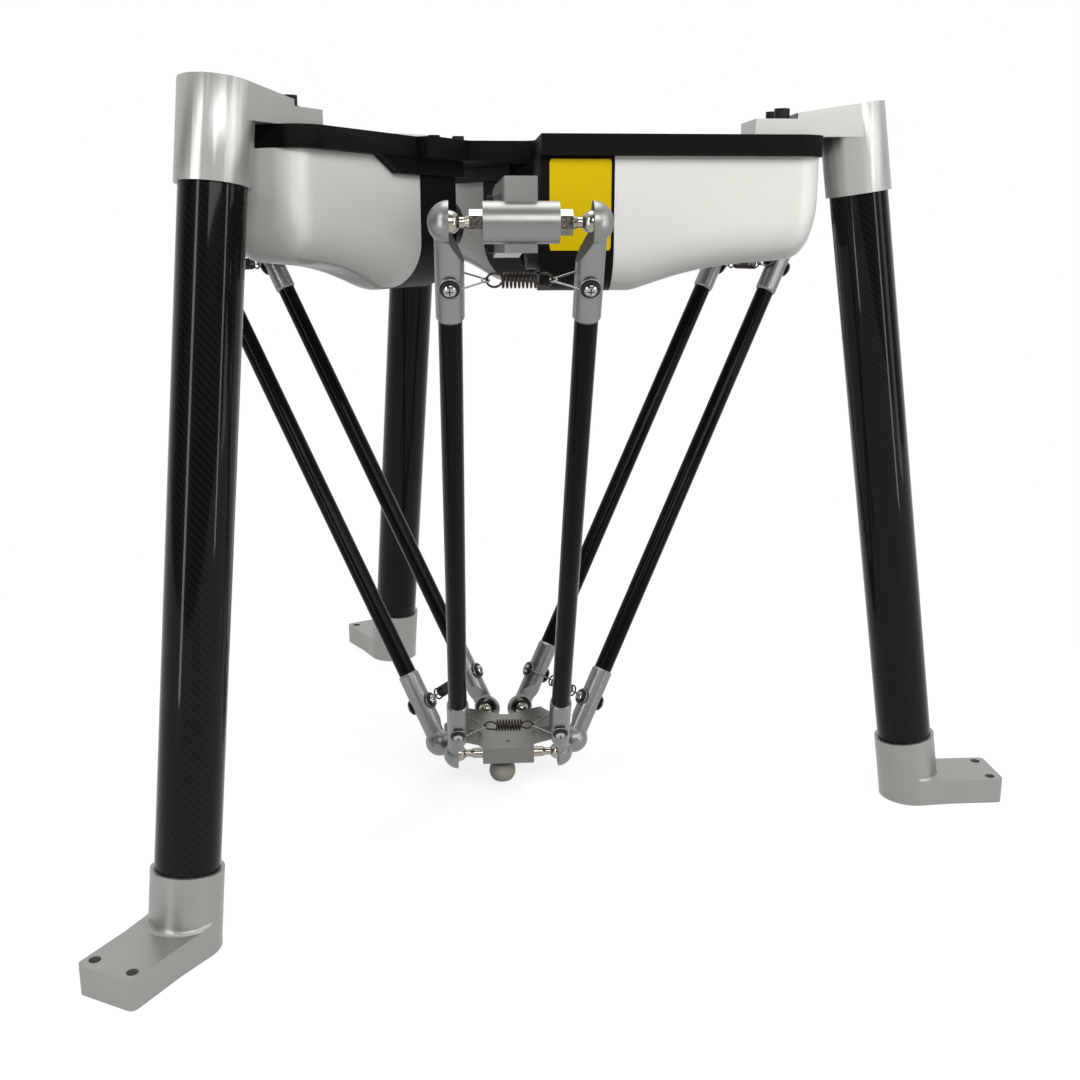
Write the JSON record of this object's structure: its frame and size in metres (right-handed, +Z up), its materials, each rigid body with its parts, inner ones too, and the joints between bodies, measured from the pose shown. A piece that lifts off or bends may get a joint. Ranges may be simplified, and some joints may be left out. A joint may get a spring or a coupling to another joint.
{
  "type": "delta robot",
  "caption": "Parallel pick-and-place robot on splayed tube legs: motor arms under a black plate drive sprung ball-jointed carbon rods to a small tool platform.",
  "frame": {"origin": "On the robot's vertical axis at floor level, the centre of the floor bolt circles, with the foot soles at z = 0.", "axes": "+Z up. Arm 1 reaches along -Y and its motor housing and leg lie toward +X; sets 2 and 3 are turned +120 and +240 degrees about +Z."},
  "size_m": [0.8003, 0.8474, 0.6455],
  "materials": {
    "black_plate": "satin black powder coat",
    "bead_aluminium": "bead-blasted, clear anodised",
    "black_steel": "black oxide socket screws",
    "carbon_tube": "gloss carbon-fibre tube",
    "black_housing": "satin black",
    "pale_cover": "smooth pale grey paint",
    "motor_black": "dark grey paint",
    "satin_aluminium": "turned and anodised",
    "bright_steel": "polished steel",
    "dark_spring": "dark oiled spring wire",
    "wire_steel": "drawn wire",
    "black_rubber": "matt black",
    "grey_rubber": "warm grey moulded rubber"
  },
  "bodies": {
    "base": {"base_plate": "black_plate", "leg_bracket_1": "bead_aluminium", "leg_bracket_2": "bead_aluminium", "leg_bracket_3": "bead_aluminium", "leg_tube_1": "carbon_tube", "leg_tube_2": "carbon_tube", "leg_tube_3": "carbon_tube", "foot_1": "bead_aluminium", "foot_2": "bead_aluminium", "foot_3": "bead_aluminium", "gear_housing_1": "black_housing", "gear_housing_2": "black_housing", "gear_housing_3": "black_housing", "motor_cover_1": "pale_cover", "motor_cover_2": "pale_cover", "motor_cover_3": "pale_cover", "motor_1": "motor_black", "motor_2": "motor_black", "motor_3": "motor_black", "gear_flange_1": "motor_black", "gear_flange_2": "motor_black", "gear_flange_3": "motor_black", "bracket_bolts": "black_steel"},
    "arm_1": {"upper_arm_1": "satin_aluminium", "cross_shaft_1": "satin_aluminium", "ball_studs_1": "bright_steel", "hub_screws_1": "black_steel"},
    "arm_2": {"upper_arm_2": "satin_aluminium", "cross_shaft_2": "satin_aluminium", "ball_studs_2": "bright_steel", "hub_screws_2": "black_steel"},
    "arm_3": {"upper_arm_3": "satin_aluminium", "cross_shaft_3": "satin_aluminium", "ball_studs_3": "bright_steel", "hub_screws_3": "black_steel"},
    "forearm_1": {"rod_tubes_1": "carbon_tube", "rod_ends_1": "satin_aluminium", "springs_1": "dark_spring", "spring_links_1": "wire_steel", "link_spools_1": "black_rubber", "link_bolts_1": "bright_steel"},
    "forearm_2": {"rod_tubes_2": "carbon_tube", "rod_ends_2": "satin_aluminium", "springs_2": "dark_spring", "spring_links_2": "wire_steel", "link_spools_2": "black_rubber", "link_bolts_2": "bright_steel"},
    "forearm_3": {"rod_tubes_3": "carbon_tube", "rod_ends_3": "satin_aluminium", "springs_3": "dark_spring", "spring_links_3": "wire_steel", "link_spools_3": "black_rubber", "link_bolts_3": "bright_steel"},
    "platform": {"platform_deck": "satin_aluminium", "platform_studs": "bright_steel", "tool_stem": "satin_aluminium", "tool_knob": "grey_rubber"}
  },
  "joints": [
    {"name": "arm_1_swing", "type": "hinge", "parent": "base", "child": "arm_1", "pos_m": [0, -0.075, 0.543], "axis": [-1, 0, 0], "range_deg": [-1.5, 20]},
    {"name": "arm_2_swing", "type": "hinge", "parent": "base", "child": "arm_2", "pos_m": [0.06495, 0.0375, 0.543], "axis": [0.5, -0.866, 0], "range_deg": [-1.5, 20]},
    {"name": "arm_3_swing", "type": "hinge", "parent": "base", "child": "arm_3", "pos_m": [-0.06495, 0.0375, 0.543], "axis": [0.5, 0.866, 0], "range_deg": [-1.5, 20]},
    {"name": "forearm_1_swing", "type": "hinge", "parent": "arm_1", "child": "forearm_1", "pos_m": [0, -0.3218, 0.543], "axis": [-1, 0, 0], "range_deg": [-20, 3]},
    {"name": "forearm_2_swing", "type": "hinge", "parent": "arm_2", "child": "forearm_2", "pos_m": [0.27869, 0.1609, 0.543], "axis": [0.5, -0.866, 0], "range_deg": [-20, 3]},
    {"name": "forearm_3_swing", "type": "hinge", "parent": "arm_3", "child": "forearm_3", "pos_m": [-0.27869, 0.1609, 0.543], "axis": [0.5, 0.866, 0], "range_deg": [-20, 3]},
    {"name": "platform_lift", "type": "slide", "parent": "base", "child": "platform", "axis": [0, 0, 1], "range_m": [-0.008, 0.082]}
  ],
  "couplings": [
    {"joint": "arm_2_swing", "follows": "arm_1_swing", "ratio": 1},
    {"joint": "arm_3_swing", "follows": "arm_1_swing", "ratio": 1},
    {"joint": "forearm_1_swing", "follows": "arm_1_swing", "ratio": -0.9352},
    {"joint": "forearm_2_swing", "follows": "arm_1_swing", "ratio": -0.9352},
    {"joint": "forearm_3_swing", "follows": "arm_1_swing", "ratio": -0.9352},
    {"joint": "platform_lift", "follows": "arm_1_swing", "m_per_rad": 0.2263}
  ]
}
